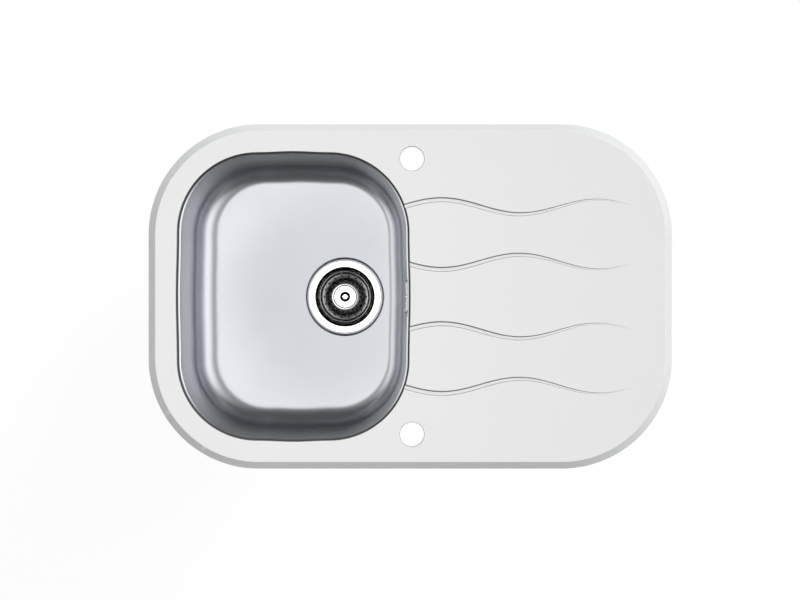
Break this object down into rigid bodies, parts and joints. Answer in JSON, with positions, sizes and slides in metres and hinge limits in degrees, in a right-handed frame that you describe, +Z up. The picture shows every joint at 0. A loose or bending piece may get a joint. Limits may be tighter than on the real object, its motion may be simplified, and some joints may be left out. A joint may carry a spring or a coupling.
{
  "type": "inset kitchen sink with drainboard",
  "caption": "Bevelled glass sink panel with a pressed steel bowl bonded beneath, wavy drainer grooves, tap holes, basket strainer waste, overflow and fixing clips.",
  "frame": {"origin": "middle of the rear rim's seat, where the rim seal rests on the worktop's top face", "axes": "+X along the worktop towards the drainer, +Y back towards the wall, +Z up"},
  "size_m": [0.76, 0.5, 0.2683],
  "materials": {
    "white_glass": "enamelled white from below, polished top and edges",
    "satin_steel": "satin pressed stainless steel",
    "polished_steel": "polished stainless steel",
    "basket_steel": "bright perforated stainless steel",
    "zinc_steel": "zinc-plated sheet",
    "brass": "plain turned",
    "black_plastic": "moulded, fine grain",
    "gasket_rubber": "matt",
    "pad_rubber": "matt pad",
    "foam": "closed-cell foam",
    "adhesive": "cured adhesive"
  },
  "bodies": {
    "sink": {"glass_panel": "white_glass", "rim_seal": "foam", "bowl": "satin_steel", "bowl_bond": "adhesive", "bowl_pad": "pad_rubber", "strainer_flange": "polished_steel", "flange_gasket": "gasket_rubber", "waste_gasket": "gasket_rubber", "waste_body": "black_plastic", "waste_outlet": "black_plastic", "waste_screw": "polished_steel", "waste_nut": "brass", "overflow_cover": "polished_steel", "overflow_seal": "gasket_rubber", "overflow_screw": "polished_steel", "overflow_elbow": "black_plastic", "overflow_pipe": "black_plastic", "overflow_nut_upper": "black_plastic", "overflow_ring_upper": "gasket_rubber", "overflow_nut_lower": "black_plastic", "overflow_ring_lower": "gasket_rubber", "drainer_frame": "zinc_steel", "frame_bond": "adhesive", "clip_1_bracket": "zinc_steel", "clip_2_bracket": "zinc_steel", "clip_3_bracket": "zinc_steel", "clip_4_bracket": "zinc_steel", "clip_5_bracket": "zinc_steel", "clip_6_bracket": "zinc_steel"},
    "basket_set": {"basket": "basket_steel", "basket_stopper": "gasket_rubber", "basket_knob": "polished_steel", "basket_stem": "polished_steel"},
    "clip_1_drive": {"clip_1_screw": "zinc_steel"},
    "clip_1_jaw": {"clip_1_claw": "zinc_steel"},
    "clip_2_drive": {"clip_2_screw": "zinc_steel"},
    "clip_2_jaw": {"clip_2_claw": "zinc_steel"},
    "clip_3_drive": {"clip_3_screw": "zinc_steel"},
    "clip_3_jaw": {"clip_3_claw": "zinc_steel"},
    "clip_4_drive": {"clip_4_screw": "zinc_steel"},
    "clip_4_jaw": {"clip_4_claw": "zinc_steel"},
    "clip_5_drive": {"clip_5_screw": "zinc_steel"},
    "clip_5_jaw": {"clip_5_claw": "zinc_steel"},
    "clip_6_drive": {"clip_6_screw": "zinc_steel"},
    "clip_6_jaw": {"clip_6_claw": "zinc_steel"}
  },
  "joints": [
    {"name": "basket_lift", "type": "slide", "parent": "sink", "child": "basket_set", "axis": [0, 0, 1], "range_m": [0, 0.25]},
    {"name": "clip_1_climb", "type": "slide", "parent": "sink", "child": "clip_1_drive", "axis": [0, 0, 1], "range_m": [0, 0.013]},
    {"name": "clip_1_swing", "type": "hinge", "parent": "clip_1_drive", "child": "clip_1_jaw", "pos_m": [-0.17, -0.0135, -0.045], "axis": [0, 0, -1], "range_deg": [0, 90]},
    {"name": "clip_2_climb", "type": "slide", "parent": "sink", "child": "clip_2_drive", "axis": [0, 0, 1], "range_m": [0, 0.013]},
    {"name": "clip_2_swing", "type": "hinge", "parent": "clip_2_drive", "child": "clip_2_jaw", "pos_m": [0.2, -0.0135, -0.045], "axis": [0, 0, -1], "range_deg": [0, 90]},
    {"name": "clip_3_climb", "type": "slide", "parent": "sink", "child": "clip_3_drive", "axis": [0, 0, 1], "range_m": [0, 0.013]},
    {"name": "clip_3_swing", "type": "hinge", "parent": "clip_3_drive", "child": "clip_3_jaw", "pos_m": [0.361, -0.2445, -0.045], "axis": [0, 0, -1], "range_deg": [0, 90]},
    {"name": "clip_4_climb", "type": "slide", "parent": "sink", "child": "clip_4_drive", "axis": [0, 0, 1], "range_m": [0, 0.013]},
    {"name": "clip_4_swing", "type": "hinge", "parent": "clip_4_drive", "child": "clip_4_jaw", "pos_m": [0.2, -0.4755, -0.045], "axis": [0, 0, -1], "range_deg": [0, 90]},
    {"name": "clip_5_climb", "type": "slide", "parent": "sink", "child": "clip_5_drive", "axis": [0, 0, 1], "range_m": [0, 0.013]},
    {"name": "clip_5_swing", "type": "hinge", "parent": "clip_5_drive", "child": "clip_5_jaw", "pos_m": [-0.17, -0.4755, -0.045], "axis": [0, 0, -1], "range_deg": [0, 90]},
    {"name": "clip_6_climb", "type": "slide", "parent": "sink", "child": "clip_6_drive", "axis": [0, 0, 1], "range_m": [0, 0.013]},
    {"name": "clip_6_swing", "type": "hinge", "parent": "clip_6_drive", "child": "clip_6_jaw", "pos_m": [-0.361, -0.2445, -0.045], "axis": [0, 0, -1], "range_deg": [0, 90]}
  ]
}
